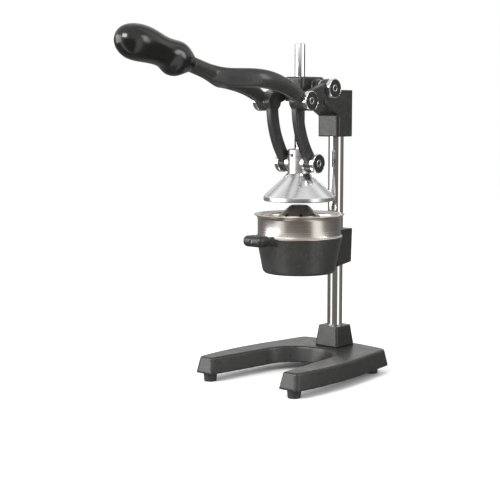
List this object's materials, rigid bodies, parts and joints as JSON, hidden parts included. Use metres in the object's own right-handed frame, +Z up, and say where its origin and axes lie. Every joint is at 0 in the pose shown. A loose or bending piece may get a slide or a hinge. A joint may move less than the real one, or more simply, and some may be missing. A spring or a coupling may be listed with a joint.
{
  "type": "lever citrus juice press",
  "caption": "Free-standing lever citrus press: a forked lever and curved links drive a bell-shaped press cone down over a reamer in a strainer above a juice cup.",
  "frame": {"origin": "under the middle of the whole press at rest, on the plane that the feet stand on", "axes": "+Z up along the press rod and the column, +Y from the operator to the column, +X to the operator's right"},
  "size_m": [0.1924, 0.4467, 0.4728],
  "materials": {
    "charcoal_coat": "fine hammertone powder coat, charcoal, low sheen",
    "polished_steel": "polished stainless",
    "chrome": "chrome plate",
    "black_inlay": "black cap",
    "bright_aluminium": "turned and polished",
    "brushed_steel": "spun satin",
    "reamer_steel": "pressed, ringed",
    "fastener_steel": "plated",
    "black_rubber": "moulded",
    "gloss_black_plastic": "high gloss",
    "black_plastic": "satin moulded"
  },
  "bodies": {
    "stand": {"base_casting": "charcoal_coat", "column_socket": "charcoal_coat", "foot_front_right": "black_rubber", "foot_front_left": "black_rubber", "foot_rear_right": "black_rubber", "foot_rear_left": "black_rubber", "foot_screws": "fastener_steel", "column": "polished_steel", "column_bolt": "fastener_steel", "column_washer": "fastener_steel", "head_bracket": "charcoal_coat", "bracket_set_screws": "fastener_steel", "fixed_pivot_shaft": "chrome", "fixed_pivot_head_right": "chrome", "fixed_pivot_head_left": "chrome", "fixed_pivot_inlays": "black_inlay", "fixed_pivot_washers": "chrome", "cup_collar": "charcoal_coat", "collar_set_screw": "fastener_steel"},
    "lever": {"lever_fork": "charcoal_coat", "lever_grip": "gloss_black_plastic", "link_bolt_right": "chrome", "link_bolt_left": "chrome", "link_bolt_inlays": "black_inlay", "link_washers": "chrome"},
    "press": {"press_rod": "polished_steel", "press_cone": "bright_aluminium", "cone_set_screw": "fastener_steel", "cross_bolt_right": "chrome", "cross_bolt_left": "chrome", "cross_bolt_inlays": "black_inlay"},
    "links": {"link_right": "charcoal_coat", "link_left": "charcoal_coat", "link_pins": "chrome"},
    "cup": {"juice_cup": "charcoal_coat", "cup_handle": "black_plastic", "cup_handle_screw": "fastener_steel"},
    "strainer": {"strainer_bowl": "brushed_steel", "reamer_cone": "reamer_steel"}
  },
  "joints": [
    {"name": "lever_hinge", "type": "hinge", "parent": "stand", "child": "lever", "pos_m": [0, 0.12487, 0.4], "axis": [1, 0, 0], "range_deg": [-50, 25]},
    {"name": "press_slide", "type": "slide", "parent": "stand", "child": "press", "axis": [0, 0, -1], "range_m": [-0.0433, 0.0217]},
    {"name": "links_hinge", "type": "hinge", "parent": "press", "child": "links", "pos_m": [0, 0.10717, 0.29887], "axis": [1, 0, 0], "range_deg": [-8, 3.2]},
    {"name": "cup_lift", "type": "slide", "parent": "stand", "child": "cup", "axis": [0, 0, 1], "range_m": [0, 0.007]},
    {"name": "strainer_lift", "type": "slide", "parent": "cup", "child": "strainer", "axis": [0, 0, 1], "range_m": [0, 0.003]}
  ],
  "couplings": [
    {"joint": "press_slide", "follows": "lever_hinge", "m_per_rad": 0.0493},
    {"joint": "links_hinge", "follows": "lever_hinge", "ratio": -0.06}
  ]
}
